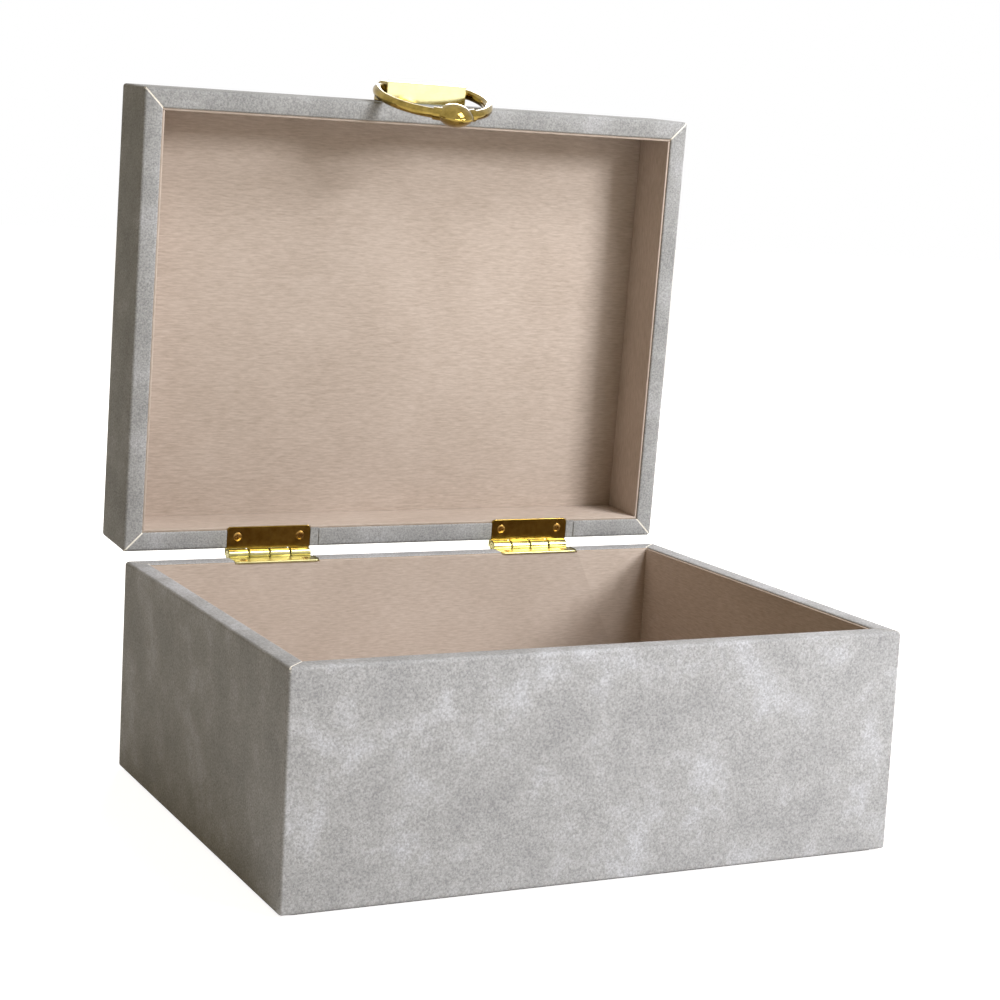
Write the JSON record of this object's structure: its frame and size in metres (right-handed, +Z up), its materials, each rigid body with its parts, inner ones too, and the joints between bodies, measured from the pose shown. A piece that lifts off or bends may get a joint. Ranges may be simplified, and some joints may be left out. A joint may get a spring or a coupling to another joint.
{
  "type": "decorative box",
  "caption": "Open-topped keepsake box wrapped in grey faux suede and lined in beige cloth, with a hinged lid that stands open on stop hinges and a brass ring pull with a lens bead.",
  "frame": {"origin": "centre of the base's underside, on the surface the box stands on", "axes": "+X to the right seen from the front, +Y from the front to the hinges, +Z up"},
  "size_m": [0.27, 0.2405, 0.3116],
  "materials": {
    "suede": "napped faux suede",
    "board": "bare fibreboard",
    "lining": "woven cloth on card",
    "felt": "felt",
    "brass": "polished"
  },
  "bodies": {
    "base": {"base_wrap": "suede", "base_felt": "felt", "base_front_board": "board", "base_back_board": "board", "base_left_board": "board", "base_right_board": "board", "base_floor_board": "board", "base_front_lining": "lining", "base_back_lining": "lining", "base_left_lining": "lining", "base_right_lining": "lining", "base_floor_lining": "lining", "hinge_left_base_leaf": "brass", "hinge_right_base_leaf": "brass", "hinge_left_pin": "brass", "hinge_right_pin": "brass", "hinge_base_screws": "brass"},
    "lid": {"lid_wrap": "suede", "lid_front_board": "board", "lid_back_board": "board", "lid_left_board": "board", "lid_right_board": "board", "lid_top_board": "board", "lid_front_lining": "lining", "lid_back_lining": "lining", "lid_left_lining": "lining", "lid_right_lining": "lining", "lid_top_lining": "lining", "hinge_left_lid_leaf": "brass", "hinge_right_lid_leaf": "brass", "hinge_lid_screws": "brass", "pull_block": "brass", "pull_screws": "brass", "pull_rod": "brass"},
    "pull_ring": {"pull_ring": "brass", "pull_bead": "brass"}
  },
  "joints": [
    {"name": "lid_hinge", "type": "hinge", "parent": "base", "child": "lid", "pos_m": [0, 0.1048, 0.0945], "axis": [1, 0, 0], "range_deg": [0, 87]},
    {"name": "pull_ring_swing", "type": "hinge", "parent": "lid", "child": "pull_ring", "pos_m": [0, 0.10656, 0.30738], "axis": [-1, 0, 0], "range_deg": [0, 160]}
  ],
  "couplings": [
    {"joint": "pull_ring_swing", "follows": "lid_hinge", "ratio": 0.17}
  ]
}
